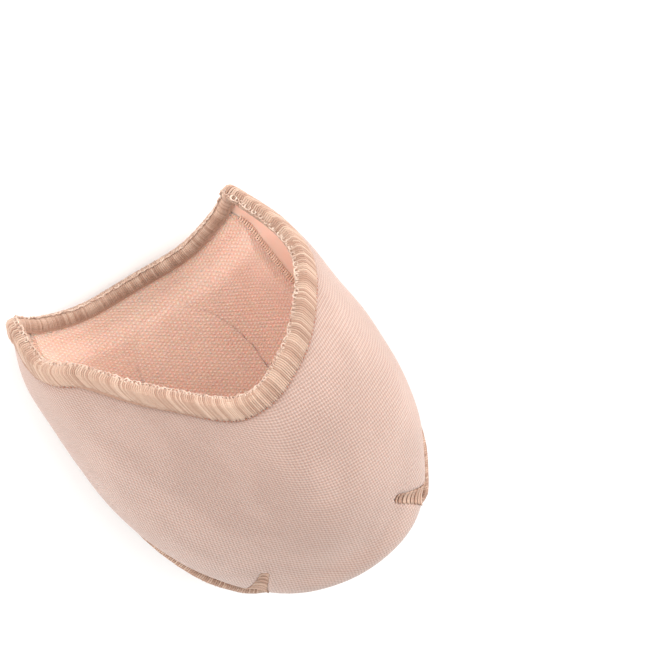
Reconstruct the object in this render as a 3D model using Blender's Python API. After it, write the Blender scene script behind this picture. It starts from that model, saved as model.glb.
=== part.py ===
"""A gel toe pad: a soft pouch of two padded panels that a dancer pulls over the toes.

The pad lies on its bottom panel. X runs across it, +Y towards the toe and +Z up. The mouth is
at -Y, between two ears. Sizes are in metres.

A place on the pad is given by a turn about its long axis, in radians from +X over the crown, and
by a reach from 0 at the toe seam to 1 at the ears.
"""

import bpy
import numpy as np

# Driving sizes of the pouch
PAD_LENGTH = 0.099
HALF_WIDTH = 0.0365
CROWN_HEIGHT = 0.0266
BELLY_DEPTH = 0.0210
REST_CUT = 0.0015
TOE_BOW = 0.0065
TOE_BOW_REACH = 0.8
TOE_SKEW = -0.12
EAR_BOW = 0.0018
TOE_DRIFT = 0.0070
CROWN_LEAN = -0.11

# Walls
WALL = 0.0025
TOE_WALL = 0.0010
TOE_WALL_REACH = 0.15
RIM_WALL = 0.0013
RIM_WALL_REACH = 0.08
GAP = 0.0003

# The seam that joins the panels: two lips turned outward, and the thread coat round them
LIP_LENGTH = 0.0022
LIP_THICKNESS = 0.0009
LIP_STUB = 0.0001
LIP_TAPER = 0.0040
LIP_LIFT_REACH = 0.2
LIP_TILT = 26
LIP_TILT_REACH = 0.45
SEAM_COAT = 0.0005
SEAM_COAT_FOOT = 0.0009
SEAM_COAT_SHORTEST_LIP = 0.0012

# The band of thread round the mouth
BAND_WIDTH = 0.0031
BAND_INSIDE_WIDTH = 0.0022
BAND_COAT = 0.0004
BAND_PUFF = 0.0002
BAND_STEEPEST = 0.6

# The darts at the toe corners
DART_DEPTH = 0.0011
DART_COAT = 0.0007
DART_BASE_HALF_WIDTH = 0.0032
DART_APEX_HALF_WIDTH = 0.0009
DART_CUTTER_ABOVE = 0.0020

# How finely the pieces are divided
ACROSS = 34
ALONG = 24
DART_STATIONS = 10
DART_ACROSS = 4
CORNER_SHARE = 0.35
STEP = 1e-4
SEAM_STEP = 0.004

# One row for each section, from the toe seam to the ears. The lengths are shares of the sizes
# above, and seam_turn is how far below its widest line each side carries the seam, in degrees.
SECTION_COLUMNS = ("along", "half_width", "crown", "belly", "seam_turn")
SECTIONS = (
    (0.00, 0.59, 0.00, 0.00, 0),
    (0.05, 0.66, 0.56, 0.42, 4),
    (0.15, 0.80, 0.71, 0.71, 10),
    (0.32, 0.95, 0.90, 0.95, 20),
    (0.52, 1.00, 1.00, 1.00, 28),
    (0.72, 0.97, 1.00, 0.95, 32),
    (0.87, 0.92, 0.90, 0.82, 32),
    (1.00, 0.77, 0.79, 0.76, 32),
)

# How far the mouth's edge dips from the ears, as shares of the reach, at even turns: over the
# crown from the +X ear to the -X ear, then back under the belly.
MOUTH_DIP = (
    0.00, 0.073, 0.094, 0.190, 0.290, 0.270, 0.215, 0.150,
    0.00, 0.030, 0.090, 0.141, 0.146, 0.136, 0.085, 0.026,
)

# Where each dart starts and ends, as a turn in degrees and a reach.
DART_COLUMNS = ("name", "base_turn", "base_reach", "apex_turn", "apex_reach")
DARTS = (
    ("dart_left", 17, 0.13, 52, 0.325),
    ("dart_right", 163, 0.13, 121, 0.325),
)

KNIT_COLOUR = (0.87, 0.72, 0.64, 1)
THREAD_COLOUR = (0.84, 0.66, 0.50, 1)


def clear_scene():
    for thing in list(bpy.data.objects):
        bpy.data.objects.remove(thing, do_unlink=True)


def material(name, colour, roughness):
    made = bpy.data.materials.new(name)
    made.use_nodes = True
    shader = made.node_tree.nodes["Principled BSDF"]
    shader.inputs["Base Color"].default_value = colour
    shader.inputs["Roughness"].default_value = roughness
    shader.inputs["Metallic"].default_value = 0
    return made


def smooth(share):
    share = np.clip(share, 0, 1)
    return share * share * (3 - 2 * share)


def unit(vectors):
    return vectors / np.linalg.norm(vectors, axis=-1, keepdims=True)


def through(values, share, closed=False):
    """A smooth curve through evenly spaced values, read at a share of its length."""
    values = np.asarray(values, float)
    count = len(values)
    place = np.asarray(share, float) * (count if closed else count - 1)
    if closed:
        first = np.floor(place).astype(int)
        before, start, end, after = (values[(first + k) % count] for k in (-1, 0, 1, 2))
    else:
        first = np.clip(np.floor(place).astype(int), 0, count - 2)
        ends = np.concatenate([[2 * values[0] - values[1]], values, [2 * values[-1] - values[-2]]])
        before, start, end, after = (ends[first + k] for k in (0, 1, 2, 3))
    t = place - first
    cubic = 3 * (start - end) + after - before
    square = 2 * before - 5 * start + 4 * end - after
    return start + 0.5 * t * (end - before + t * (square + t * cubic))


def section(name, reach):
    column = SECTION_COLUMNS.index(name)
    return through([row[column] for row in SECTIONS], reach)


def mouth_reach(turn):
    return 1 - through(MOUTH_DIP, (turn / (2 * np.pi)) % 1, closed=True)


def seam_height():
    return BELLY_DEPTH - REST_CUT


def body_point(turn, reach):
    """The outer surface of the pouch, flat where it rests."""
    turn, reach = np.broadcast_arrays(np.asarray(turn, float), np.asarray(reach, float))
    along = PAD_LENGTH * section("along", reach)
    crown = CROWN_HEIGHT * section("crown", reach)
    belly = BELLY_DEPTH * section("belly", reach)
    rise = np.where(np.sin(turn) >= 0, crown, belly)
    lift = LIP_THICKNESS * (1 - smooth(reach / LIP_LIFT_REACH)) * np.tanh(8 * np.sin(turn))
    height = np.maximum(seam_height() + rise * np.sin(turn) + lift, 0)
    bow = TOE_BOW * np.clip(1 - reach / TOE_BOW_REACH, 0, 1) ** 2 + EAR_BOW * reach
    across = HALF_WIDTH * section("half_width", reach) * np.cos(turn)
    across = across + TOE_DRIFT * (along / PAD_LENGTH - 0.5)
    across = across + CROWN_LEAN * (height - seam_height())
    back = along + bow * (np.cos(turn) - TOE_SKEW) ** 2
    return np.stack([across, -back, height], axis=-1)


def body_slopes(turn, reach):
    """How the surface point moves for a small turn and for a small reach."""
    low = np.maximum(reach - STEP, 0)
    high = low + 2 * STEP
    around = (body_point(turn + STEP, reach) - body_point(turn - STEP, reach)) / (2 * STEP)
    back = (body_point(turn, high) - body_point(turn, low)) / (2 * STEP)
    return around, back


def body_normal(turn, reach):
    around, back = body_slopes(turn, reach)
    return unit(np.cross(around, back))


def wall_at(share):
    """The wall is pressed thin at the toe seam and at the mouth."""
    toe = TOE_WALL + (WALL - TOE_WALL) * smooth(share / TOE_WALL_REACH)
    return toe + (RIM_WALL - WALL) * smooth((share - 1 + 2 * RIM_WALL_REACH) / RIM_WALL_REACH)


def side_seam_turn(share):
    return np.radians(section("seam_turn", share))


def seam_point(place):
    """The seam: from 0 to 1 down the +X side, from 1 to 2 round the toe, from 2 to 3 back."""
    if 1 <= place <= 2:
        point = body_point(np.arccos(3 - 2 * place), 0)
        return np.array([point[0], point[1], seam_height()])
    share = max(1 - place, place - 2)
    turn = -side_seam_turn(share) if place < 1 else np.pi + side_seam_turn(share)
    return body_point(turn, share * mouth_reach(turn))


def seam_frame(place):
    """The seam's point, its way out, and its way from the bottom panel to the top one."""
    here = seam_point(place)
    tangent = np.zeros(3)
    if place > SEAM_STEP:
        tangent += unit(here - seam_point(place - SEAM_STEP))
    if place < 3 - SEAM_STEP:
        tangent += unit(seam_point(place + SEAM_STEP) - here)
    tangent = unit(tangent)
    level = unit(np.cross(tangent, (0, 0, 1)))
    share = max(1 - place, place - 2, 0)
    side = 1 if place < 1.5 else -1
    turn = np.pi * (1 - side) / 2 - side * side_seam_turn(share)
    on_side = smooth(share / LIP_LIFT_REACH)
    facing = body_normal(turn, share * mouth_reach(turn))
    out = level + (facing - level) * on_side
    out = unit(out - np.dot(out, tangent) * tangent)
    up = np.cross(out, tangent)
    above, below = turn + side * STEP, turn - side * STEP
    row = body_point(above, share * mouth_reach(above)) - body_point(below, share * mouth_reach(below))
    up = unit(up + (unit(row) - up) * on_side) if share else up
    tilt = np.radians(LIP_TILT) * (1 - smooth(share / LIP_TILT_REACH))
    return here, np.cos(tilt) * out - np.sin(tilt) * up, np.cos(tilt) * up + np.sin(tilt) * out


def side_length():
    points = np.array([seam_point(place) for place in np.linspace(0, 1, 4 * ALONG)])
    return np.linalg.norm(np.diff(points, axis=0), axis=1).sum()


def lip_length(place):
    """The lips fade out before they reach the band round the mouth."""
    from_band = min(place, 3 - place, 1) * side_length() - BAND_WIDTH / BAND_STEEPEST
    faded = smooth((from_band - 2 * GAP) / LIP_TAPER)
    return LIP_STUB + (LIP_LENGTH - LIP_STUB) * faded


def lip_points(place, side):
    """A panel's edge at the seam: the outer skin's two points, then the inner skin's two."""
    here, out, up = seam_frame(place)
    length = lip_length(place)
    top = here + side * LIP_THICKNESS * up
    low = here + side * GAP / 2 * up
    wall = wall_at(max(1 - place, place - 2, 0))
    return top, top + length * out, low - wall * out, low + length * out


def panel_skins(side):
    """Matching grids of outer and inner points, side 1 for the top panel and -1 for the bottom."""
    outer = np.zeros((ALONG + 2, ACROSS + 3, 3))
    inner = np.zeros_like(outer)
    for row in range(1, ALONG + 1):
        share = row / ALONG
        turn = panel_turns(share, side)[1:-1]
        reach = share * mouth_reach(turn)
        skin = body_point(turn, reach)
        lining = skin - wall_at(share) * body_normal(turn, reach)
        level = (seam_point(1 - share)[2] + seam_point(2 + share)[2]) / 2
        lining[:, 2] = side * np.maximum(side * lining[:, 2], side * level + GAP / 2)
        outer[row + 1, 2:-2] = skin
        inner[row + 1, 2:-2] = lining
    fill_seam_edges(outer, inner, side)
    return outer, inner


def fill_seam_edges(outer, inner, side):
    """Adds the lips: two lines of points along each side and along the toe."""

    def put(row, column, place, at_tip):
        top, top_tip, low, low_tip = lip_points(place, side)
        outer[row, column] = top_tip if at_tip else top
        inner[row, column] = low_tip if at_tip else low

    def toe(column):
        return 1 + column / ACROSS if side > 0 else 2 - column / ACROSS

    def flank(share, first):
        return 1 - share if first == (side > 0) else 2 + share

    for first, body, tip in ((True, 1, 0), (False, ACROSS + 1, ACROSS + 2)):
        corner = toe(0) if first else toe(ACROSS)
        near = toe(CORNER_SHARE) if first else toe(ACROSS - CORNER_SHARE)
        for row in range(1, ALONG + 1):
            put(row + 1, body, flank(row / ALONG, first), False)
            put(row + 1, tip, flank(row / ALONG, first), True)
        put(1, body, corner, False)
        put(0, tip, corner, True)
        put(0, body, near, True)
        put(1, tip, flank(CORNER_SHARE / ALONG, first), True)
    for column in range(1, ACROSS):
        put(1, column + 1, toe(column), False)
        put(0, column + 1, toe(column), True)


def add_object(name, points, faces, finish):
    mesh = bpy.data.meshes.new(name)
    mesh.from_pydata([tuple(point) for point in points], [], faces)
    mesh.validate()
    mesh.update()
    made = bpy.data.objects.new(name, mesh)
    bpy.context.scene.collection.objects.link(made)
    made.data.materials.append(finish)
    mesh.shade_smooth()
    mesh.set_sharp_from_angle(angle=np.radians(50))
    return made


def wall_object(name, outer, inner, finish):
    """A closed wall between two matching grids of points."""
    rows, columns = outer.shape[:2]
    count = rows * columns
    index = np.arange(count).reshape(rows, columns)
    faces = []
    for row in range(rows - 1):
        for column in range(columns - 1):
            quad = (
                index[row, column],
                index[row, column + 1],
                index[row + 1, column + 1],
                index[row + 1, column],
            )
            faces.append([int(corner) for corner in quad])
            faces.append([int(corner) + count for corner in reversed(quad)])
    edge = [*index[0, :-1], *index[:-1, -1], *index[-1, :0:-1], *index[:0:-1, 0]]
    for start, end in zip(edge, edge[1:] + edge[:1]):
        faces.append([int(end), int(start), int(start) + count, int(end) + count])
    points = np.concatenate([outer.reshape(-1, 3), inner.reshape(-1, 3)])
    return add_object(name, points, faces, finish)


def swept_object(name, rings, closed, finish):
    """A closed solid through rings of points, capped at its ends unless it closes on itself."""
    stations, corners = rings.shape[:2]
    index = np.arange(stations * corners).reshape(stations, corners)
    faces = []
    for start in range(stations if closed else stations - 1):
        end = (start + 1) % stations
        for corner in range(corners):
            after = (corner + 1) % corners
            quad = (index[start, corner], index[start, after], index[end, after], index[end, corner])
            faces.append([int(point) for point in quad])
    if not closed:
        faces.append([int(point) for point in index[0, ::-1]])
        faces.append([int(point) for point in index[-1]])
    return add_object(name, rings.reshape(-1, 3), faces, finish)


def moved_on_body(turn, reach, along_surface):
    """The turn and reach after a small move along the surface."""
    around, back = body_slopes(turn, reach)
    slopes = np.stack([around, back], axis=1)
    change = np.linalg.lstsq(slopes, along_surface, rcond=None)[0]
    return turn + change[0], reach + change[1]


def panel_turns(share, side):
    """The turns of a panel's lines of points: even round the pouch, but even in X at the toe."""
    low = side_seam_turn(share)
    start, end = (-low, np.pi + low) if side > 0 else (np.pi + low, 2 * np.pi - low)
    part = np.arange(ACROSS + 1) / ACROSS
    even = start + (end - start) * part
    at_toe = (0 if side > 0 else np.pi) + np.arccos(1 - 2 * part)
    return at_toe + (even - at_toe) * smooth(share / LIP_LIFT_REACH)


def mouth_turns():
    """The band's rings stand on the lines of both panels, so that it follows their edges."""
    return np.concatenate([panel_turns(1, 1)[:-1], panel_turns(1, -1)[:-1]])


def rim_band_ring(turn):
    """The band's section at one turn: an outer leg, a round top and an inner leg."""
    reach = mouth_reach(turn)
    edge = body_point(turn, reach)
    around, back = body_slopes(turn, reach)
    normal = unit(np.cross(around, back))
    ahead = body_point(turn + STEP, mouth_reach(turn + STEP))
    behind = body_point(turn - STEP, mouth_reach(turn - STEP))
    beyond = unit(np.cross(unit(ahead - behind), -normal))
    if np.dot(beyond, back) < 0:
        beyond = -beyond
    steepness = max(np.dot(beyond, unit(back)), BAND_STEEPEST)
    speed = np.linalg.norm(back) * steepness

    def leg(height, distance):
        place = reach - distance / speed
        return body_point(turn, place) + height * body_normal(turn, place)

    def top(height, distance):
        return edge + height * normal + distance * beyond

    near = GAP
    far = near + BAND_COAT
    inside = -RIM_WALL - GAP
    lining = inside - BAND_COAT
    crest = GAP + BAND_COAT + BAND_PUFF
    return np.array([
        leg(near, BAND_WIDTH),
        leg(far, BAND_WIDTH),
        leg(far + BAND_PUFF, BAND_WIDTH / 2),
        top(far, 0),
        top(near, GAP + BAND_COAT),
        top(-RIM_WALL / 2, crest),
        top(inside, GAP + BAND_COAT),
        top(lining, 0),
        leg(lining, BAND_INSIDE_WIDTH),
        leg(inside, BAND_INSIDE_WIDTH),
        top(inside, GAP),
        top(near, GAP),
        leg(near, BAND_WIDTH / 2),
    ])


def seam_coat_ring(place):
    """The seam coat's section at one place: a channel closed round the lips' tips."""
    here, out, up = seam_frame(place)
    inside = LIP_THICKNESS + GAP
    outside = inside + SEAM_COAT
    tip = lip_length(place) + GAP
    end = tip + SEAM_COAT
    section_points = (
        (SEAM_COAT_FOOT, inside),
        (SEAM_COAT_FOOT, outside),
        (tip, outside),
        (end, inside),
        (end, -inside),
        (tip, -outside),
        (SEAM_COAT_FOOT, -outside),
        (SEAM_COAT_FOOT, -inside),
        (tip, -inside),
        (tip, inside),
    )
    return np.array([here + far * out + high * up for far, high in section_points])


def seam_places():
    """The places of the seam coat's rings, where the lips are long enough to carry it."""
    side = np.arange(1, ALONG) / ALONG
    corner = CORNER_SHARE / ALONG
    toe = np.arange(1, ACROSS) / ACROSS
    toe_corner = CORNER_SHARE / ACROSS
    first = [*(1 - side[::-1]), 1 - corner, 1, 1 + toe_corner, *(1 + toe)]
    second = [2 - toe_corner, 2, 2 + corner, *(2 + side)]
    return [place for place in first + second if lip_length(place) > SEAM_COAT_SHORTEST_LIP]


def dart_skins(dart, low, high, slack):
    """Matching grids above a dart's wedge, at two heights over the panel."""
    base_turn, apex_turn = np.radians(dart["base_turn"]), np.radians(dart["apex_turn"])
    shape = (DART_STATIONS + 1, DART_ACROSS + 1, 3)
    outer, inner = np.zeros(shape), np.zeros(shape)
    for row, share in enumerate(np.linspace(0, 1, DART_STATIONS + 1)):
        turn = base_turn + (apex_turn - base_turn) * share
        reach = dart["base_reach"] + (dart["apex_reach"] - dart["base_reach"]) * share
        around, back = body_slopes(turn, reach)
        run = around * (apex_turn - base_turn) + back * (dart["apex_reach"] - dart["base_reach"])
        cross = unit(np.cross(body_normal(turn, reach), run))
        half = DART_BASE_HALF_WIDTH + (DART_APEX_HALF_WIDTH - DART_BASE_HALF_WIDTH) * share
        half = half - slack
        end_slack = unit(run) * slack * ((row == 0) - (row == DART_STATIONS))
        for column, offset in enumerate(np.linspace(half, -half, DART_ACROSS + 1)):
            spot = moved_on_body(turn, reach, offset * cross + end_slack)
            normal = body_normal(*spot)
            outer[row, column] = body_point(*spot) + high * normal
            inner[row, column] = body_point(*spot) + low * normal
    return outer, inner


def cut_dart(panel, dart, finish):
    """Sinks the dart's valley into the top panel, and lays its threads in it."""
    outer, inner = dart_skins(dart, -DART_DEPTH, DART_CUTTER_ABOVE, 0)
    cutter = wall_object(dart["name"] + "_cutter", outer, inner, finish)
    cutter.hide_render = True
    cutter.display_type = "WIRE"
    cut = panel.modifiers.new(dart["name"], "BOOLEAN")
    cut.object = cutter
    cut.operation = "DIFFERENCE"
    cut.solver = "EXACT"
    floor = -DART_DEPTH + GAP
    outer, inner = dart_skins(dart, floor, floor + DART_COAT, GAP)
    return wall_object(dart["name"], outer, inner, finish)


def stand_on_origin():
    """Moves the pad so that the middle of its footprint is at the origin."""
    bpy.context.view_layer.update()
    shown = [thing for thing in bpy.data.objects if not thing.hide_render]
    corners = np.array([corner[:] for thing in shown for corner in thing.bound_box])
    low, high = corners.min(axis=0), corners.max(axis=0)
    for thing in bpy.data.objects:
        thing.location = (-(low[0] + high[0]) / 2, -(low[1] + high[1]) / 2, -low[2])


def build():
    clear_scene()
    knit = material("knit", KNIT_COLOUR, 0.85)
    thread = material("thread", THREAD_COLOUR, 0.75)
    top_panel = wall_object("top_panel", *panel_skins(1), knit)
    wall_object("bottom_panel", *panel_skins(-1), knit)
    band_rings = np.array([rim_band_ring(turn) for turn in mouth_turns()])
    swept_object("rim_binding", band_rings[::-1], True, thread)
    seam_rings = np.array([seam_coat_ring(place) for place in seam_places()])
    swept_object("seam_binding", seam_rings, False, thread)
    for row in DARTS:
        cut_dart(top_panel, dict(zip(DART_COLUMNS, row)), thread)
    stand_on_origin()


build()
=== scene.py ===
"""The looks of a gel toe pad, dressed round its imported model.

The pad lies on its bottom panel. X runs across it, +Y towards the toe and +Z up. Sizes are in
metres, and the shape's sizes repeat those of the model, so that each piece lies where its solid
is. A place on the pad is a turn about its long axis, in radians from +X over the crown, and a
reach from 0 at the toe seam to 1 at the ears.
"""

import bpy
import numpy as np
from mathutils import Matrix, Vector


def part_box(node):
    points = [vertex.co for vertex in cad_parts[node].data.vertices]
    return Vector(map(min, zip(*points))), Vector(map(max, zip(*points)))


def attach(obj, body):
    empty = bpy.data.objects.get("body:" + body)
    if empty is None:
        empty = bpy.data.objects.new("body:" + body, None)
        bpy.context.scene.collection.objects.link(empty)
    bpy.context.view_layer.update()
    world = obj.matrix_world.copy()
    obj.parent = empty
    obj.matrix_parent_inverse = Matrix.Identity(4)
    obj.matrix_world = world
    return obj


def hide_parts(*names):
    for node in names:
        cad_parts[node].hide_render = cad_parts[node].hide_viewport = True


MM = 0.001

# The pouch's shape, as in the model
PAD_LENGTH = 0.099
HALF_WIDTH = 0.0365
CROWN_HEIGHT = 0.0266
BELLY_DEPTH = 0.0210
REST_CUT = 0.0015
TOE_BOW = 0.0065
TOE_BOW_REACH = 0.8
TOE_SKEW = -0.12
EAR_BOW = 0.0018
TOE_DRIFT = 0.0070
CROWN_LEAN = -0.11
WALL = 0.0025
TOE_WALL = 0.0010
TOE_WALL_REACH = 0.15
RIM_WALL = 0.0013
RIM_WALL_REACH = 0.08
GAP = 0.0003
LIP_LENGTH = 0.0022
LIP_THICKNESS = 0.0009
LIP_STUB = 0.0001
LIP_TAPER = 0.0040
LIP_LIFT_REACH = 0.2
LIP_TILT = 26
LIP_TILT_REACH = 0.45
SEAM_COAT = 0.0005
SEAM_COAT_FOOT = 0.0009
BAND_WIDTH = 0.0031
BAND_INSIDE_WIDTH = 0.0022
BAND_COAT = 0.0004
BAND_PUFF = 0.0002
BAND_STEEPEST = 0.6
DART_DEPTH = 0.0011
DART_BASE_HALF_WIDTH = 0.0032
DART_APEX_HALF_WIDTH = 0.0009
SECTION_COLUMNS = ("along", "half_width", "crown", "belly", "seam_turn")
SECTIONS = (
    (0.00, 0.59, 0.00, 0.00, 0),
    (0.05, 0.66, 0.56, 0.42, 4),
    (0.15, 0.80, 0.71, 0.71, 10),
    (0.32, 0.95, 0.90, 0.95, 20),
    (0.52, 1.00, 1.00, 1.00, 28),
    (0.72, 0.97, 1.00, 0.95, 32),
    (0.87, 0.92, 0.90, 0.82, 32),
    (1.00, 0.77, 0.79, 0.76, 32),
)
MOUTH_DIP = (
    0.00, 0.073, 0.094, 0.190, 0.290, 0.270, 0.215, 0.150,
    0.00, 0.030, 0.090, 0.141, 0.146, 0.136, 0.085, 0.026,
)
DART_COLUMNS = ("name", "base_turn", "base_reach", "apex_turn", "apex_reach")
DARTS = (
    ("dart_left", 17, 0.13, 52, 0.325),
    ("dart_right", 163, 0.13, 121, 0.325),
)

# How finely the covers are divided
COVER_ACROSS = 190
COVER_ALONG = 170
TOE_CROWDING = 1.25
STEP = 1e-4
SEAM_STEP = 0.004
CREASE_SHARPNESS = 8

# How the cloth is drawn in and uneven
RIM_TUCK = 0.00035
RIM_TUCK_REACH = 0.0024
DART_SOFTNESS = 0.0006
UNEVEN = 0.00022

# Threads
BAND_PITCH = 0.00047
BAND_THREAD = 0.00025
BAND_STATIONS = 16
SEAM_PITCH = 0.00050
SEAM_THREAD = 0.00024
SEAM_STATIONS = 14
LOOP_PITCH = 0.00085
LOOP_RADIUS = 0.00050
LOOP_THREAD = 0.00017
LOOP_STATIONS = 12
NEEDLE_PITCH = 0.00090
NEEDLE_HOLE = 0.00025
DART_PITCH = 0.00062
DART_THREAD = 0.00027
INNER_PITCH = 0.00070
INNER_THREAD = 0.00020
INNER_HALF_WIDTH = 0.0008
INNER_DEPTH = 0.00025
INNER_WIDTH_SPREAD = 0.2
INNER_STATIONS = 7
INNER_PROFILE = ((0.0005, 1.0), (-0.0001, 0.7), (-0.0002, 0.0), (-0.0001, -0.7), (0.0005, -1.0))
INNER_LEFT = (0.06, 0.72)
INNER_RIGHT = (2.28, 2.94)
DART_START = 0.3
DART_END = 0.2
DART_STATIONS = 9
DART_OVERLAP = 0.0002
DART_WIDTH_SPREAD = 0.08
DART_SINK = 0.52
DART_RISE = 0.45
DART_FLATNESS = 1.25
THREAD_END = 0.6
THREAD_SIDES = 6
LOOP_SIDES = 5
SEED = 7

# The photograph's view: where the camera stands, and the pixel that its target falls on
PHOTO_SIZE = 651
CAMERA_TARGET = (0.0, 0.0009, 0.020)
CAMERA_ELEVATION = 56
CAMERA_ROLL = 147.66
CAMERA_DISTANCE = 0.6
FOCAL_PIXELS = 2637.6
TARGET_PIXEL = (244.7, 422.0)
SENSOR = 36
FLOOR_HALF = 6.0
FLOOR_DROP = 0.0002


def smooth(share):
    share = np.clip(share, 0, 1)
    return share * share * (3 - 2 * share)


def unit(vectors):
    return vectors / np.linalg.norm(vectors, axis=-1, keepdims=True)


def through(values, share, closed=False):
    """A smooth curve through evenly spaced values, read at a share of its length."""
    values = np.asarray(values, float)
    count = len(values)
    place = np.asarray(share, float) * (count if closed else count - 1)
    if closed:
        first = np.floor(place).astype(int)
        before, start, end, after = (values[(first + k) % count] for k in (-1, 0, 1, 2))
    else:
        first = np.clip(np.floor(place).astype(int), 0, count - 2)
        ends = np.concatenate([[2 * values[0] - values[1]], values, [2 * values[-1] - values[-2]]])
        before, start, end, after = (ends[first + k] for k in (0, 1, 2, 3))
    t = place - first
    if values.ndim > 1:
        t = t[:, None]
    cubic = 3 * (start - end) + after - before
    square = 2 * before - 5 * start + 4 * end - after
    return start + 0.5 * t * (end - before + t * (square + t * cubic))


def section(name, reach):
    column = SECTION_COLUMNS.index(name)
    return through([row[column] for row in SECTIONS], reach)


def mouth_reach(turn):
    return 1 - through(MOUTH_DIP, (turn / (2 * np.pi)) % 1, closed=True)


def seam_height():
    return BELLY_DEPTH - REST_CUT


def body_point(turn, reach):
    """The outer surface of the pouch, flat where it rests."""
    turn, reach = np.broadcast_arrays(np.asarray(turn, float), np.asarray(reach, float))
    along = PAD_LENGTH * section("along", reach)
    crown = CROWN_HEIGHT * section("crown", reach)
    belly = BELLY_DEPTH * section("belly", reach)
    rise = np.where(np.sin(turn) >= 0, crown, belly)
    crease = np.tanh(CREASE_SHARPNESS * np.sin(turn))
    lift = LIP_THICKNESS * (1 - smooth(reach / LIP_LIFT_REACH)) * crease
    height = np.maximum(seam_height() + rise * np.sin(turn) + lift, 0)
    bow = TOE_BOW * np.clip(1 - reach / TOE_BOW_REACH, 0, 1) ** 2 + EAR_BOW * reach
    across = HALF_WIDTH * section("half_width", reach) * np.cos(turn)
    across = across + TOE_DRIFT * (along / PAD_LENGTH - 0.5)
    across = across + CROWN_LEAN * (height - seam_height())
    back = along + bow * (np.cos(turn) - TOE_SKEW) ** 2
    return np.stack([across, -back, height], axis=-1)


def body_slopes(turn, reach):
    """How the surface point moves for a small turn and for a small reach."""
    low = np.maximum(reach - STEP, 0)
    high = low + 2 * STEP
    around = (body_point(turn + STEP, reach) - body_point(turn - STEP, reach)) / (2 * STEP)
    back = (body_point(turn, high) - body_point(turn, low)) / (2 * STEP)
    return around, back


def body_normal(turn, reach):
    around, back = body_slopes(turn, reach)
    return unit(np.cross(around, back))


def wall_at(share):
    """The wall is pressed thin at the toe seam and at the mouth."""
    toe = TOE_WALL + (WALL - TOE_WALL) * smooth(share / TOE_WALL_REACH)
    return toe + (RIM_WALL - WALL) * smooth((share - 1 + 2 * RIM_WALL_REACH) / RIM_WALL_REACH)


def side_seam_turn(share):
    return np.radians(section("seam_turn", share))


def seam_point(place):
    """The seam: from 0 to 1 down the +X side, from 1 to 2 round the toe, from 2 to 3 back."""
    if 1 <= place <= 2:
        point = body_point(np.arccos(3 - 2 * place), 0)
        return np.array([point[0], point[1], seam_height()])
    share = max(1 - place, place - 2)
    turn = -side_seam_turn(share) if place < 1 else np.pi + side_seam_turn(share)
    return body_point(turn, share * mouth_reach(turn))


def seam_frame(place):
    """The seam's point, its way out, and its way from the bottom panel to the top one."""
    here = seam_point(place)
    tangent = np.zeros(3)
    if place > SEAM_STEP:
        tangent += unit(here - seam_point(place - SEAM_STEP))
    if place < 3 - SEAM_STEP:
        tangent += unit(seam_point(place + SEAM_STEP) - here)
    tangent = unit(tangent)
    level = unit(np.cross(tangent, (0, 0, 1)))
    share = max(1 - place, place - 2, 0)
    side = 1 if place < 1.5 else -1
    turn = np.pi * (1 - side) / 2 - side * side_seam_turn(share)
    on_side = smooth(share / LIP_LIFT_REACH)
    facing = body_normal(turn, share * mouth_reach(turn))
    out = level + (facing - level) * on_side
    out = unit(out - np.dot(out, tangent) * tangent)
    up = np.cross(out, tangent)
    above, below = turn + side * STEP, turn - side * STEP
    row = body_point(above, share * mouth_reach(above)) - body_point(below, share * mouth_reach(below))
    up = unit(up + (unit(row) - up) * on_side) if share else up
    tilt = np.radians(LIP_TILT) * (1 - smooth(share / LIP_TILT_REACH))
    return here, np.cos(tilt) * out - np.sin(tilt) * up, np.cos(tilt) * up + np.sin(tilt) * out


def side_length():
    points = np.array([seam_point(place) for place in np.linspace(0, 1, 96)])
    return np.linalg.norm(np.diff(points, axis=0), axis=1).sum()


SIDE_LENGTH = side_length()


def lip_length(place):
    """The lips fade out before they reach the band round the mouth."""
    from_band = min(place, 3 - place, 1) * SIDE_LENGTH - BAND_WIDTH / BAND_STEEPEST
    faded = smooth((from_band - 2 * GAP) / LIP_TAPER)
    return LIP_STUB + (LIP_LENGTH - LIP_STUB) * faded


def frame_shift():
    """How far the model was moved to stand at the origin, read from its bottom panel."""
    lips = np.array([seam_lip_tip(place) for place in np.linspace(0, 3, 400)])
    low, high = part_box("bottom_panel")
    across = (low[0] + high[0] - lips[:, 0].min() - lips[:, 0].max()) / 2
    return np.array([across, high[1] - lips[:, 1].max(), 0])


def seam_lip_tip(place):
    here, out, up = seam_frame(place)
    return here + lip_length(place) * out


def panel_turns(share, side, columns):
    """The turns of a panel's lines of points: even round the pouch, but even in X at the toe."""
    low = side_seam_turn(share)
    start, end = (-low, np.pi + low) if side > 0 else (np.pi + low, 2 * np.pi - low)
    part = np.arange(columns + 1) / columns
    even = start + (end - start) * part
    at_toe = (0 if side > 0 else np.pi) + np.arccos(1 - 2 * part)
    return at_toe + (even - at_toe) * smooth(share / LIP_LIFT_REACH)


def dart_line(dart, count):
    """Points, surface normals, ways across and half-widths along a dart, from base to apex."""
    share = np.linspace(0, 1, count)
    turn = np.radians(dart["base_turn"] + (dart["apex_turn"] - dart["base_turn"]) * share)
    reach = dart["base_reach"] + (dart["apex_reach"] - dart["base_reach"]) * share
    points = body_point(turn, reach)
    normals = body_normal(turn, reach)
    across = unit(np.cross(normals, np.gradient(points, axis=0)))
    half = DART_BASE_HALF_WIDTH + (DART_APEX_HALF_WIDTH - DART_BASE_HALF_WIDTH) * share
    return points, normals, across, half


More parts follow.
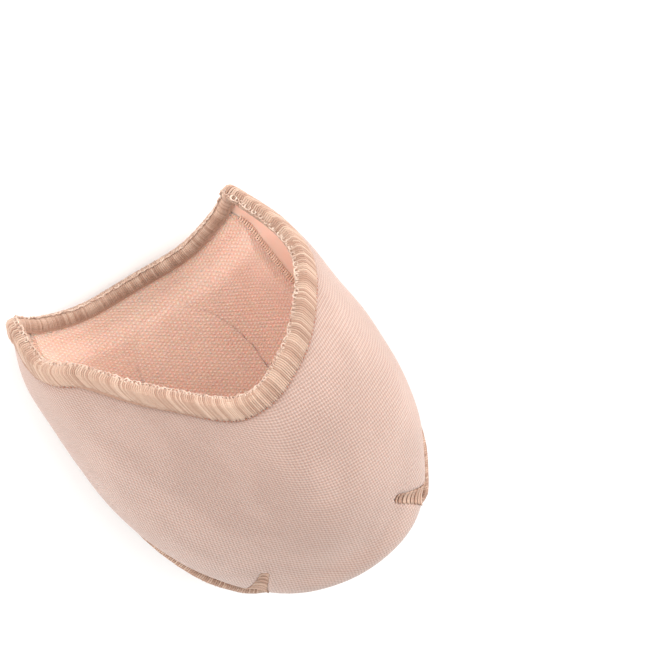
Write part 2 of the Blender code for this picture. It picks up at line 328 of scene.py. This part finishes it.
def dart_depth(points):
    """How far the cloth is sunk by the darts at each point."""
    depth = np.zeros(points.shape[:-1])
    for row in DARTS:
        line, _, _, half = dart_line(dict(zip(DART_COLUMNS, row)), 60)
        offsets = points[..., None, :] - line
        distance = np.linalg.norm(offsets, axis=-1) - half
        nearest = distance.min(axis=-1)
        depth = np.maximum(depth, DART_DEPTH * smooth(0.5 - nearest / (2 * DART_SOFTNESS)))
    return depth


def unevenness(points):
    """Slow swells of soft cloth over gel, from -1 to 1."""
    x, y, z = np.moveaxis(points / (10 * MM), -1, 0)
    swell = np.sin(2.1 * x + 1.3 * y + 0.4) + np.sin(1.1 * x - 2.3 * y + 1.7 * z + 2.0)
    return (swell + np.sin(3.4 * y + 1.9 * z + 5.1) * np.sin(2.9 * x - 0.7)) / 3


def cover_skins(side):
    """Matching grids of outer and lining points of a panel, with no lips."""
    rows, columns = COVER_ALONG, COVER_ACROSS
    outer = np.zeros((rows + 1, columns + 1, 3))
    lining = np.zeros_like(outer)
    for row in range(rows + 1):
        share = (row / rows) ** TOE_CROWDING
        for column in (0, columns) if row else range(columns + 1):
            outer[row, column], lining[row, column] = seam_edge(share, column / columns, side)
        if row == 0:
            continue
        turn = panel_turns(share, side, columns)[1:-1]
        reach = share * mouth_reach(turn)
        skin = body_point(turn, reach)
        normal = body_normal(turn, reach)
        inner = skin - wall_at(share) * normal
        level = (seam_point(1 - share)[2] + seam_point(2 + share)[2]) / 2
        inner[:, 2] = side * np.maximum(side * inner[:, 2], side * level + GAP / 2)
        from_rim = np.linalg.norm(skin - body_point(turn, mouth_reach(turn)), axis=-1)
        tuck = RIM_TUCK * smooth(1 - np.abs(from_rim - BAND_WIDTH) / RIM_TUCK_REACH)
        fade = smooth(np.minimum(column_margin(columns), share) * 12)
        swell = UNEVEN * unevenness(skin) * fade * (skin[:, 2] > UNEVEN)
        sunk = dart_depth(skin) if side > 0 else 0
        outer[row, 1:-1] = skin + (swell - tuck - sunk)[:, None] * normal
        lining[row, 1:-1] = inner + swell[:, None] * normal
    outer[..., 2] = np.maximum(outer[..., 2], 0)
    lining[..., 2] = np.maximum(lining[..., 2], TOE_WALL)
    return outer + SHIFT, lining + SHIFT


def column_margin(columns):
    part = np.arange(1, columns) / columns
    return np.minimum(part, 1 - part)


def seam_edge(share, part, side):
    """A panel's outer and lining point at the seam."""
    if share == 0:
        place = 1 + part if side > 0 else 2 - part
    else:
        place = 1 - share if (part == 0) == (side > 0) else 2 + share
    here, out, up = seam_frame(place)
    outer = here + side * LIP_THICKNESS * up
    return outer, here + side * GAP / 2 * up - wall_at(share) * out


def mesh_object(name, points, faces, finishes, finish_index=None):
    mesh = bpy.data.meshes.new(name)
    mesh.from_pydata(points.reshape(-1, 3).tolist(), [], faces.tolist())
    mesh.update()
    made = bpy.data.objects.new(name, mesh)
    bpy.context.scene.collection.objects.link(made)
    for finish in finishes:
        mesh.materials.append(finish)
    if finish_index is not None:
        mesh.polygons.foreach_set("material_index", finish_index)
    mesh.shade_smooth()
    return made


def point_vectors(made, name, values):
    layer = made.data.attributes.new(name, "FLOAT_VECTOR", "POINT")
    layer.data.foreach_set("vector", np.ascontiguousarray(values, np.float32).ravel())


def cloth_places(skin):
    """Where each point lies on the flat cloth, in millimetres, measured from the panel's middle."""
    middle = skin.shape[1] // 2
    steps = np.linalg.norm(np.diff(skin, axis=1), axis=-1)
    around = np.concatenate([np.zeros((len(skin), 1)), np.cumsum(steps, axis=1)], axis=1)
    around = around - around[:, middle : middle + 1]
    length = np.linalg.norm(np.diff(skin[:, middle], axis=0), axis=-1)
    along = np.concatenate([[0], np.cumsum(length)])
    from_side = np.minimum(around - around[:, :1], around[:, -1:] - around)
    from_rim = (along[-1] - along)[:, None] + np.zeros_like(around)
    place = np.stack([around, along[:, None] + np.zeros_like(around), from_side], axis=-1)
    return place / MM, from_rim / MM


def panel_cover(name, side, finishes):
    """A panel as one closed wall: knit outside, lining inside."""
    outer, lining = cover_skins(side)
    rows, columns = outer.shape[:2]
    count = rows * columns
    index = np.arange(count).reshape(rows, columns)
    corners = [index[:-1, :-1], index[:-1, 1:], index[1:, 1:], index[1:, :-1]]
    out_faces = np.stack([corner.ravel() for corner in corners], axis=1)
    in_faces = out_faces[:, ::-1] + count
    edge = np.concatenate([index[0, :-1], index[:-1, -1], index[-1, :0:-1], index[:0:-1, 0]])
    after = np.roll(edge, -1)
    edge_faces = np.stack([after, edge, edge + count, after + count], axis=1)
    faces = np.concatenate([out_faces, in_faces, edge_faces])
    kinds = np.repeat([0, 1, 1], [len(out_faces), len(in_faces), len(edge_faces)])
    made = mesh_object(name, np.concatenate([outer, lining]), faces, finishes, kinds)
    place, from_rim = cloth_places(outer)
    inner_place, _ = cloth_places(lining)
    point_vectors(made, "cloth", np.concatenate([place, inner_place]))
    # The dart depth goes to the knit as the mask of its painted shade in the dart valleys, beside the
    # distance from the rim and the panel's side.
    sunk = dart_depth(outer - SHIFT) / DART_DEPTH if side > 0 else np.zeros(outer.shape[:2])
    rim_dart_shade_side = np.stack([from_rim, sunk, np.full_like(sunk, side)], axis=-1)
    point_vectors(made, "rim_dart_shade_side", np.concatenate([rim_dart_shade_side, rim_dart_shade_side]))
    return made


def threads(name, paths, ups, width, height, sides, finish):
    """Round threads along paths, each one a closed tube. width and height are its half sizes."""
    count, stations = paths.shape[:2]
    tangents = unit(np.gradient(paths, axis=1))
    across = unit(np.cross(tangents, ups))
    lift = np.cross(across, tangents)
    angles = 2 * np.pi * np.arange(sides) / sides
    taper = np.ones(stations)
    taper[[0, -1]] = THREAD_END
    width = np.broadcast_to(np.asarray(width, float).reshape(-1, 1), (count, stations)) * taper
    height = np.broadcast_to(np.asarray(height, float).reshape(-1, 1), (count, stations)) * taper
    rings = (
        paths[:, :, None]
        + (width[:, :, None] * np.cos(angles))[..., None] * across[:, :, None]
        + (height[:, :, None] * np.sin(angles))[..., None] * lift[:, :, None]
    )
    index = np.arange(count * stations * sides).reshape(count, stations, sides)
    beside = np.roll(index, -1, axis=2)
    quads = [index[:, :-1], beside[:, :-1], beside[:, 1:], index[:, 1:]]
    faces = np.stack([quad.ravel() for quad in quads], axis=1).tolist()
    faces += index[:, 0, ::-1].tolist() + index[:, -1].tolist()
    mesh = bpy.data.meshes.new(name)
    mesh.from_pydata((rings + SHIFT).reshape(-1, 3).tolist(), [], faces)
    mesh.update()
    made = bpy.data.objects.new(name, mesh)
    bpy.context.scene.collection.objects.link(made)
    mesh.materials.append(finish)
    mesh.shade_smooth()
    steps = np.linalg.norm(np.diff(paths, axis=1), axis=-1)
    length = np.concatenate([np.zeros((count, 1)), np.cumsum(steps, axis=1)], axis=1) / MM
    values = np.zeros((count, stations, sides, 3))
    values[..., 0] = length[:, :, None]
    values[..., 1] = np.sin(angles)
    values[..., 2] = RANDOM.random(count)[:, None, None]
    point_vectors(made, "thread", values)
    return made


def mouth_turns_even(pitch):
    """Turns round the mouth, an even distance apart along its edge."""
    turn = np.linspace(0, 2 * np.pi, 1200)
    edge = body_point(turn, mouth_reach(turn))
    length = np.concatenate([[0], np.cumsum(np.linalg.norm(np.diff(edge, axis=0), axis=1))])
    count = int(round(length[-1] / pitch))
    return np.interp(np.arange(count) * length[-1] / count, length, turn)


def rim_frame(turn):
    """The mouth edge's points, surface normals, ways beyond the edge, and reach per metre."""
    reach = mouth_reach(turn)
    edge = body_point(turn, reach)
    around, back = body_slopes(turn, reach)
    normal = unit(np.cross(around, back))
    ahead = body_point(turn + STEP, mouth_reach(turn + STEP))
    behind = body_point(turn - STEP, mouth_reach(turn - STEP))
    beyond = unit(np.cross(unit(ahead - behind), -normal))
    beyond = np.where((beyond * back).sum(axis=-1, keepdims=True) < 0, -beyond, beyond)
    steepness = np.maximum((beyond * unit(back)).sum(axis=-1), BAND_STEEPEST)
    speed = np.linalg.norm(back, axis=-1) * steepness
    return reach, edge, normal, beyond, speed, np.linalg.norm(around, axis=-1)


def band_leg(turn, height, distance, lean=0):
    """A point on the band over the cloth, a distance in from the mouth's edge."""
    reach, _, _, _, speed, radius = rim_frame(turn)
    turn = turn + lean * distance / radius
    place = reach - distance / speed
    return body_point(turn, place) + np.reshape(height, (-1, 1)) * body_normal(turn, place)


def band_top(turn, height, distance):
    """A point on the band past the mouth's edge."""
    _, edge, normal, beyond, _, _ = rim_frame(turn)
    return edge + np.reshape(height, (-1, 1)) * normal + np.reshape(distance, (-1, 1)) * beyond


def band_lean(turn):
    """How much the band's threads lean: more towards the +X ear."""
    return 0.10 + 0.45 * smooth(np.cos(turn) * 0.9 + 0.1) * (np.sin(turn) > 0)


def band_threads(finish):
    """The threads that wrap the mouth's edge."""
    turn = mouth_turns_even(BAND_PITCH)
    count = len(turn)
    low = BAND_WIDTH + 0.00030 + 0.00035 * (RANDOM.random(count) - 0.5)
    puff = BAND_PUFF + 0.00018 * (RANDOM.random(count) - 0.5)
    far = GAP + BAND_COAT
    inside = -RIM_WALL - GAP
    lean = band_lean(turn)
    crest = far + puff
    keys = [
        band_leg(turn, 0.0, low + 0.0002, lean),
        band_leg(turn, far, low * 0.94, lean),
        band_leg(turn, far + puff * 0.9, low * 0.66, lean),
        band_leg(turn, far + puff, low * 0.33, lean),
        band_top(turn, far + puff * 0.4, GAP),
        band_top(turn, -RIM_WALL / 2, crest),
        band_top(turn, inside - BAND_COAT * 0.8, GAP),
        band_leg(turn, inside - BAND_COAT, BAND_INSIDE_WIDTH * 0.5),
        band_leg(turn, inside, BAND_INSIDE_WIDTH * 1.02),
    ]
    return wrapped_threads("rim_threads", keys, BAND_THREAD, BAND_STATIONS, finish)


def wrapped_threads(name, keys, radius, stations, finish):
    """Threads through key points that wrap an edge: each key holds one point for each thread."""
    keys = np.array(keys)
    share = np.linspace(0, 1, stations)
    paths = np.stack([through(keys[:, k], share) for k in range(keys.shape[1])])
    middle = paths.mean(axis=1, keepdims=True)
    tangents = unit(np.gradient(paths, axis=1))
    ups = paths - middle
    ups = unit(ups - (ups * tangents).sum(axis=-1, keepdims=True) * tangents)
    sizes = radius * (1 + 0.24 * (RANDOM.random(len(paths)) - 0.5))
    return threads(name, paths, ups, sizes, sizes * 0.9, THREAD_SIDES, finish)


def chain_loops(finish):
    """The knotted chain of small loops along the mouth's edge."""
    turn = mouth_turns_even(LOOP_PITCH)
    count = len(turn)
    _, edge, normal, beyond, _, _ = rim_frame(turn)
    along = unit(np.cross(beyond, normal))
    crest = edge + (-RIM_WALL * 0.72) * normal + (GAP + BAND_COAT + BAND_PUFF + 0.0001) * beyond
    crest = crest + 0.00022 * (RANDOM.random((count, 3)) - 0.5)
    side = unit(normal - 0.5 * beyond)
    angle = np.linspace(0, 2.15 * np.pi, LOOP_STATIONS)
    start = 2 * np.pi * RANDOM.random(count)[:, None]
    width = LOOP_RADIUS * (1 + 0.5 * (RANDOM.random(count) - 0.5))[:, None, None]
    around = np.cos(angle + start)[..., None] * along[:, None] * 1.1
    over = np.sin(angle + start)[..., None] * side[:, None]
    rise = 0.00016 * np.sin(2 * angle + start)[..., None] * beyond[:, None]
    paths = crest[:, None] + width * (around + over) + rise
    ups = np.broadcast_to(beyond[:, None], paths.shape)
    return threads("rim_chain", paths, ups, LOOP_THREAD, LOOP_THREAD, LOOP_SIDES, finish)


def needle_row(name, points, along, normals, finish):
    """A row of needle holes: small dark beads, half sunk, painted as the shade inside each hole."""
    reach = np.linspace(-1, 1, 5)
    paths = points[:, None] + reach[:, None] * (NEEDLE_HOLE * along)[:, None]
    ups = np.broadcast_to(normals[:, None], paths.shape)
    return threads(name, paths, ups, NEEDLE_HOLE, NEEDLE_HOLE * 0.7, THREAD_SIDES, finish)


def rim_needle_hole_shades(finish):
    turn = mouth_turns_even(NEEDLE_PITCH)
    points = band_leg(turn, 0.00034, BAND_WIDTH + 0.00062, band_lean(turn))
    along = unit(np.gradient(points, axis=0))
    _, _, normal, _, _, _ = rim_frame(turn)
    return needle_row("rim_needle_hole_shades", points, along, normal, finish)


def seam_places_even(pitch, start, end):
    """Places along the seam, an even distance apart."""
    place = np.linspace(start, end, 900)
    line = np.array([seam_point(value) for value in place])
    length = np.concatenate([[0], np.cumsum(np.linalg.norm(np.diff(line, axis=0), axis=1))])
    count = int(round(length[-1] / pitch))
    return np.interp(np.linspace(0, length[-1], count), length, place)


def seam_threads(finish):
    """The threads that wrap the lips of the seam."""
    near_band = (BAND_WIDTH / BAND_STEEPEST + GAP) / SIDE_LENGTH
    places = seam_places_even(SEAM_PITCH, near_band, 3 - near_band)
    keys = []
    inside = LIP_THICKNESS + GAP
    outside = inside + SEAM_COAT
    for place in places:
        here, out, up = seam_frame(place)
        tip = max(lip_length(place), 0.0006) + GAP + 0.00035 * (RANDOM.random() - 0.5)
        foot = SEAM_COAT_FOOT * (0.2 + 0.5 * RANDOM.random())
        profile = [
            (foot, inside - 0.0002),
            (foot + 0.0005, outside * 0.97),
            (tip * 0.6, outside + 0.00012),
            (tip, outside * 0.85),
            (tip + SEAM_COAT, 0.0),
            (tip, -outside * 0.85),
            (tip * 0.6, -outside - 0.00012),
            (foot + 0.0005, -outside * 0.97),
            (foot, -inside + 0.0002),
        ]
        keys.append([here + far * out + high * up for far, high in profile])
    keys = np.moveaxis(np.array(keys), 0, 1)
    keys[..., 2] = np.maximum(keys[..., 2], SEAM_THREAD)
    return wrapped_threads("seam_threads", keys, SEAM_THREAD, SEAM_STATIONS, finish)


def seam_needle_row(name, side, finish):
    places = seam_places_even(NEEDLE_PITCH * 1.3, 0.14, 2.86)
    points, normals = [], []
    for place in places:
        here, out, up = seam_frame(place)
        points.append(here + 0.0001 * out + side * (LIP_THICKNESS + 0.0006) * up)
        normals.append(unit(out + side * up))
    points = np.array(points)
    along = unit(np.gradient(points, axis=0))
    return needle_row(name, points, along, np.array(normals), finish)


def inner_seam_threads(name, start, end, finish):
    """The stitches that show inside, over the join of the panels' linings."""
    places = seam_places_even(INNER_PITCH, start, end)
    keys = []
    for place in places:
        here, out, up = seam_frame(place)
        share = max(1 - place, place - 2)
        deep = here - (wall_at(share) + INNER_DEPTH) * out
        width = INNER_HALF_WIDTH * (1 + INNER_WIDTH_SPREAD * (RANDOM.random() - 0.5))
        keys.append([deep + far * out + high * width * up for far, high in INNER_PROFILE])
    keys = np.moveaxis(np.array(keys), 0, 1)
    share = np.linspace(0, 1, INNER_STATIONS)
    paths = np.stack([through(keys[:, k], share) for k in range(keys.shape[1])])
    inward = np.array([-seam_frame(place)[1] for place in places])
    ups = np.broadcast_to(inward[:, None], paths.shape)
    return threads(name, paths, ups, INNER_THREAD, INNER_THREAD, THREAD_SIDES, finish)


def dart_threads(dart, finish):
    """The ladder of threads across a dart's valley, in pairs."""
    points, normals, across, half = dart_line(dart, 200)
    length = np.concatenate([[0], np.cumsum(np.linalg.norm(np.diff(points, axis=0), axis=1))])
    count = int(length[-1] / DART_PITCH)
    stations = np.linspace(DART_START * MM, length[-1] - DART_END * MM, count)
    stations = stations[np.arange(count) % 3 != 2]
    paths, ups = [], []
    spread = np.linspace(-1, 1, DART_STATIONS)
    for station in stations:
        at = min(int(np.searchsorted(length, station)), len(points) - 1)
        wide = (half[at] + DART_OVERLAP) * (1 + DART_WIDTH_SPREAD * (RANDOM.random() - 0.5))
        sink = -DART_DEPTH * DART_SINK + DART_DEPTH * DART_RISE * np.abs(spread) ** 3
        line = points[at] + wide * spread[:, None] * across[at] + sink[:, None] * normals[at]
        paths.append(line)
        ups.append(np.broadcast_to(normals[at], line.shape))
    return threads(
        dart["name"] + "_threads",
        np.array(paths),
        np.array(ups),
        DART_THREAD * DART_FLATNESS,
        DART_THREAD,
        THREAD_SIDES,
        finish,
    )


# Materials


def link(tree, socket, value):
    """Connects a socket to a node's output, or sets its value."""
    if isinstance(value, bpy.types.NodeSocket):
        tree.links.new(value, socket)
    else:
        socket.default_value = value


def calc(tree, operation, first, second=0.0, third=0.0):
    node = tree.nodes.new("ShaderNodeMath")
    node.operation = operation
    for socket, value in zip(node.inputs, (first, second, third)):
        link(tree, socket, value)
    return node.outputs[0]


def between(tree, value, low, high, start=0.0, end=1.0):
    """Maps a value smoothly from low..high to start..end."""
    node = tree.nodes.new("ShaderNodeMapRange")
    node.interpolation_type = "SMOOTHSTEP"
    for name, given in (("Value", value), ("From Min", low), ("From Max", high)):
        link(tree, node.inputs[name], given)
    node.inputs["To Min"].default_value = start
    node.inputs["To Max"].default_value = end
    return node.outputs["Result"]


def mixed(tree, share, first, second):
    node = tree.nodes.new("ShaderNodeMix")
    node.data_type = "RGBA"
    link(tree, node.inputs[0], share)
    link(tree, node.inputs[6], first)
    link(tree, node.inputs[7], second)
    return node.outputs[2]


def attribute(tree, name):
    node = tree.nodes.new("ShaderNodeAttribute")
    node.attribute_name = name
    return node.outputs["Vector"]


def parts(tree, vector):
    node = tree.nodes.new("ShaderNodeSeparateXYZ")
    link(tree, node.inputs[0], vector)
    return node.outputs


def along(tree, vector, direction):
    """The length of a vector along a direction."""
    node = tree.nodes.new("ShaderNodeVectorMath")
    node.operation = "DOT_PRODUCT"
    link(tree, node.inputs[0], vector)
    node.inputs[1].default_value = direction
    return node.outputs["Value"]


def noise(tree, vector, scale, detail=2.0):
    node = tree.nodes.new("ShaderNodeTexNoise")
    link(tree, node.inputs["Vector"], vector)
    node.inputs["Scale"].default_value = scale
    node.inputs["Detail"].default_value = detail
    return node.outputs


def stirred(tree, vector, scale, amount):
    """A vector pushed about by noise, so that a weave isn't perfectly even."""
    push = tree.nodes.new("ShaderNodeVectorMath")
    push.operation = "MULTIPLY_ADD"
    link(tree, push.inputs[0], noise(tree, vector, scale)["Color"])
    push.inputs[1].default_value = (amount, amount, amount)
    link(tree, push.inputs[2], vector)
    return push.outputs[0]


def cosine(tree, value):
    return calc(tree, "COSINE", calc(tree, "MULTIPLY", value, 2 * np.pi))


def turned(angle, pitch):
    """A direction in the cloth that counts one for each pitch, in millimetres."""
    angle = np.radians(angle)
    return (np.cos(angle) / pitch, np.sin(angle) / pitch, 0)


def new_material(name, roughness, sheen, tint, subsurface):
    made = bpy.data.materials.new(name)
    made.use_nodes = True
    tree = made.node_tree
    shader = tree.nodes["Principled BSDF"]
    shader.inputs["Roughness"].default_value = roughness
    shader.inputs["Sheen Weight"].default_value = sheen
    shader.inputs["Sheen Roughness"].default_value = 0.5
    shader.inputs["Sheen Tint"].default_value = tint
    shader.inputs["Subsurface Weight"].default_value = subsurface
    shader.inputs["Subsurface Radius"].default_value = (1.0, 0.45, 0.3)
    shader.inputs["Subsurface Scale"].default_value = 1.2 * MM
    shader.inputs["Specular IOR Level"].default_value = 0.25
    return made, tree, shader


def bump(tree, shader, height, distance):
    node = tree.nodes.new("ShaderNodeBump")
    node.inputs["Distance"].default_value = distance
    node.inputs["Strength"].default_value = 1.0
    link(tree, node.inputs["Height"], height)
    link(tree, shader.inputs["Normal"], node.outputs["Normal"])


def knit_material():
    """The outer knit: slanted dashes in fine columns, pink with pale tops, and painted shade in the
    dart valleys.
    """
    made, tree, shader = new_material("knit", 0.85, 0.45, (1.0, 0.93, 0.90, 1), 0.12)
    place = stirred(tree, attribute(tree, "cloth"), 0.35, 0.35)
    column = cosine(tree, along(tree, place, turned(-6, 0.72)))
    row = cosine(tree, along(tree, place, turned(62, 0.80)))
    stitch = calc(tree, "MULTIPLY_ADD", row, 0.6, calc(tree, "MULTIPLY", column, 0.55))
    fuzz = noise(tree, place, 3.5, 3.0)["Fac"]
    height = calc(tree, "MULTIPLY_ADD", stitch, 0.45, calc(tree, "MULTIPLY", fuzz, 0.6))
    tops = between(tree, height, -0.10, 0.75)
    blotch = between(tree, noise(tree, attribute(tree, "cloth"), 0.06)["Fac"], 0.35, 0.65)
    ground = mixed(tree, blotch, (0.34, 0.215, 0.175, 1), (0.37, 0.240, 0.195, 1))
    raised = mixed(tree, blotch, (0.48, 0.340, 0.285, 1), (0.52, 0.370, 0.315, 1))
    cloth = mixed(tree, tops, ground, raised)
    rim_dart_shade_parts = parts(tree, attribute(tree, "rim_dart_shade_side"))
    # Within a few millimetres of the mouth's rim the knit is pulled towards a flatter, slightly darker
    # pink.
    at_rim = between(tree, rim_dart_shade_parts[0], 4.2, 7.5, 0.35, 0.0)
    cloth = mixed(tree, at_rim, cloth, (0.40, 0.25, 0.20, 1))
    # Painted shade: the knit is darkened in the dart valleys, where the cloth is sunk.
    dart_shade = between(tree, rim_dart_shade_parts[1], 0.2, 1.0, 0.0, 0.75)
    cloth = mixed(tree, dart_shade, cloth, (0.36, 0.21, 0.15, 1))
    link(tree, shader.inputs["Base Color"], cloth)
    bump(tree, shader, height, 0.14 * MM)
    return made


def lining_material():
    """The lining: a peach ground with a hexagonal mesh of pale dots."""
    made, tree, shader = new_material("lining", 0.7, 0.2, (1.0, 0.90, 0.82, 1), 0.4)
    shader.inputs["Subsurface Scale"].default_value = 3 * MM
    place = stirred(tree, attribute(tree, "cloth"), 0.25, 0.3)
    first = cosine(tree, along(tree, place, turned(10, 0.86)))
    second = cosine(tree, along(tree, place, turned(70, 0.86)))
    third = cosine(tree, along(tree, place, turned(130, 0.86)))
    dots = calc(tree, "ADD", calc(tree, "ADD", first, second), third)
    from_side = parts(tree, attribute(tree, "cloth"))[2]
    on_bottom = between(tree, parts(tree, attribute(tree, "rim_dart_shade_side"))[2], 0.5, -0.5)
    plain = calc(tree, "MAXIMUM", between(tree, from_side, 4.5, 6.5), on_bottom)
    height = calc(tree, "MULTIPLY", between(tree, dots, -0.6, 2.2), plain)
    tops = between(tree, height, 0.25, 0.85, 0.0, 0.75)
    blotch = between(tree, noise(tree, attribute(tree, "cloth"), 0.05)["Fac"], 0.35, 0.65)
    ground = mixed(tree, blotch, (0.84, 0.57, 0.46, 1), (0.88, 0.62, 0.51, 1))
    cloth = mixed(tree, tops, ground, (0.97, 0.82, 0.73, 1))
    link(tree, shader.inputs["Base Color"], cloth)
    bump(tree, shader, height, 0.14 * MM)
    return made


def thread_material(name, dark, pale):
    """Twisted thread, each one a little lighter or darker than the next."""
    made, tree, shader = new_material(name, 0.62, 0.2, (1.0, 0.94, 0.86, 1), 0.1)
    place = parts(tree, attribute(tree, "thread"))
    twist = cosine(tree, calc(tree, "MULTIPLY_ADD", place[0], 2.6, place[1]))
    fuzz = noise(tree, attribute(tree, "thread"), 4.0)["Fac"]
    shade = calc(tree, "MULTIPLY_ADD", fuzz, 0.4, calc(tree, "MULTIPLY", place[2], 0.6))
    link(tree, shader.inputs["Base Color"], mixed(tree, between(tree, shade, 0.1, 0.9), dark, pale))
    bump(tree, shader, calc(tree, "MULTIPLY_ADD", twist, 0.3, fuzz), 0.05 * MM)
    return made


def bed_material():
    """The mass of thread that shows between the threads on top, painted darker as the shade between
    them.
    """
    made, tree, shader = new_material("thread_bed_shade", 0.8, 0.1, (1.0, 0.9, 0.8, 1), 0.1)
    spot = tree.nodes.new("ShaderNodeNewGeometry").outputs["Position"]
    fuzz = noise(tree, spot, 1800, 3.0)["Fac"]
    cloth = mixed(tree, fuzz, (0.30, 0.17, 0.12, 1), (0.42, 0.26, 0.19, 1))
    link(tree, shader.inputs["Base Color"], cloth)
    bump(tree, shader, fuzz, 0.1 * MM)
    return made


def hole_shade_material():
    # Painted shade: a dark reddish brown that stands for the shade inside each needle hole.
    made, tree, shader = new_material("needle_hole_shade", 0.9, 0.0, (1.0, 1.0, 1.0, 1), 0.0)
    fuzz = noise(tree, attribute(tree, "thread"), 2.0)["Fac"]
    cloth = mixed(tree, fuzz, (0.30, 0.12, 0.08, 1), (0.48, 0.24, 0.17, 1))
    link(tree, shader.inputs["Base Color"], cloth)
    bump(tree, shader, fuzz, 0.05 * MM)
    return made


def floor_material():
    made, tree, shader = new_material("floor", 0.9, 0.0, (1.0, 1.0, 1.0, 1), 0.0)
    spot = tree.nodes.new("ShaderNodeNewGeometry").outputs["Position"]
    faint = noise(tree, spot, 3.0)["Fac"]
    shade = mixed(tree, faint, (0.93, 0.93, 0.93, 1), (0.95, 0.95, 0.95, 1))
    link(tree, shader.inputs["Base Color"], shade)
    return made


# The set


def add_floor():
    mesh = bpy.data.meshes.new("floor")
    quarters = ((-1, -1), (1, -1), (1, 1), (-1, 1))
    corners = [(x * FLOOR_HALF, y * FLOOR_HALF, -FLOOR_DROP) for x, y in quarters]
    mesh.from_pydata(corners, [], [(0, 1, 2, 3)])
    mesh.update()
    floor = bpy.data.objects.new("floor", mesh)
    bpy.context.scene.collection.objects.link(floor)
    mesh.materials.append(floor_material())


def camera_axes():
    """The camera's place, and its right, up and forward directions, with the target off centre."""
    elevation, roll = np.radians([CAMERA_ELEVATION, CAMERA_ROLL])
    towards = np.array([0, -np.cos(elevation), np.sin(elevation)])
    place = np.array(CAMERA_TARGET) + CAMERA_DISTANCE * towards
    forward = -towards
    level = np.array([1.0, 0, 0])
    rise = np.cross(level, forward)
    right = np.cos(roll) * level + np.sin(roll) * rise
    up = np.cos(roll) * rise - np.sin(roll) * level
    aside = (PHOTO_SIZE / 2 - TARGET_PIXEL[0]) / FOCAL_PIXELS
    above = (TARGET_PIXEL[1] - PHOTO_SIZE / 2) / FOCAL_PIXELS
    forward = unit(forward + aside * right + above * up)
    right = unit(right - np.dot(right, forward) * forward)
    return place, right, np.cross(right, forward), forward


def add_camera():
    place, right, up, forward = camera_axes()
    data = bpy.data.cameras.new("camera")
    data.sensor_width = SENSOR
    data.lens = FOCAL_PIXELS * SENSOR / PHOTO_SIZE
    data.clip_start = 0.01
    camera = bpy.data.objects.new("camera", data)
    bpy.context.scene.collection.objects.link(camera)
    columns = np.stack([right, up, -forward, place], axis=1)
    camera.matrix_world = Matrix([*columns.tolist(), [0, 0, 0, 1]])
    bpy.context.scene.camera = camera


def add_light(name, direction, distance, size, power, colour):
    """A square soft light that faces the pad."""
    data = bpy.data.lights.new(name, "AREA")
    data.size = size
    data.energy = power
    data.color = colour
    light = bpy.data.objects.new(name, data)
    bpy.context.scene.collection.objects.link(light)
    away = unit(np.array(direction, float))
    side = unit(np.cross((0, 0, 1), away))
    columns = np.stack([side, np.cross(away, side), away, distance * away], axis=1)
    light.matrix_world = Matrix([*columns.tolist(), [0, 0, 0, 1]])


def set_look():
    bpy.context.scene.view_settings.view_transform = "Standard"


def add_lights():
    world = bpy.data.worlds.new("studio")
    bpy.context.scene.world = world
    world.use_nodes = True
    world.node_tree.nodes["Background"].inputs["Color"].default_value = (1.0, 0.99, 0.98, 1)
    world.node_tree.nodes["Background"].inputs["Strength"].default_value = 0.85
    add_light("key", (-1.0, -0.15, 0.38), 1.1, 0.9, 14, (1.0, 0.99, 0.98))
    add_light("fill", (1.0, -0.4, 0.4), 1.2, 0.9, 7, (1.0, 0.99, 0.98))
    add_light("mouth_light", (0.1, -1.0, 0.75), 1.2, 0.7, 8, (1.0, 0.98, 0.96))


def dress():
    """Builds every piece of the pad and ties it to the model."""
    knit = knit_material()
    lining = lining_material()
    bed_shade = bed_material()
    pale_thread = thread_material("thread", (0.36, 0.21, 0.15, 1), (0.56, 0.39, 0.30, 1))
    cream_thread = thread_material("chain_thread", (0.46, 0.29, 0.22, 1), (0.74, 0.57, 0.47, 1))
    inner_thread = thread_material("inner_thread", (0.78, 0.48, 0.36, 1), (0.92, 0.66, 0.53, 1))
    hole_shade = hole_shade_material()

    for name, side in (("top_panel", 1), ("bottom_panel", -1)):
        cover = panel_cover(name + "_cover", side, [knit, lining])
        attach(cover, "root")
        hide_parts(name)

    made = [
        band_threads(pale_thread),
        chain_loops(cream_thread),
        rim_needle_hole_shades(hole_shade),
        seam_threads(pale_thread),
        seam_needle_row("seam_needle_hole_shades_top", 1, hole_shade),
        seam_needle_row("seam_needle_hole_shades_bottom", -1, hole_shade),
        inner_seam_threads("inner_seam_threads_left", *INNER_LEFT, inner_thread),
        inner_seam_threads("inner_seam_threads_right", *INNER_RIGHT, inner_thread),
    ]
    for row in DARTS:
        dart = dict(zip(DART_COLUMNS, row))
        ladder = dart_threads(dart, pale_thread)
        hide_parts(dart["name"])
        made.append(ladder)
    for piece in made:
        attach(piece, "root")
    # The binding solids under the threads take the thread bed's painted shade.
    for name in ("rim_binding", "seam_binding"):
        for material_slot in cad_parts[name].material_slots:
            material_slot.material = bed_shade


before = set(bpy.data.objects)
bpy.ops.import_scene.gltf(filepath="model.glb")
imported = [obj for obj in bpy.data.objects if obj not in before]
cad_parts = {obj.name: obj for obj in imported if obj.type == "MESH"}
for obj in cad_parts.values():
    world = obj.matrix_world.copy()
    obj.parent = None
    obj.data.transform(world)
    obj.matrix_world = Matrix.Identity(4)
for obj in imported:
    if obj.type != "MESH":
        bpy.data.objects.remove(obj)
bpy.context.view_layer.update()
RANDOM = np.random.default_rng(SEED)
SHIFT = frame_shift()
dress()
add_floor()
add_camera()
add_lights()
set_look()
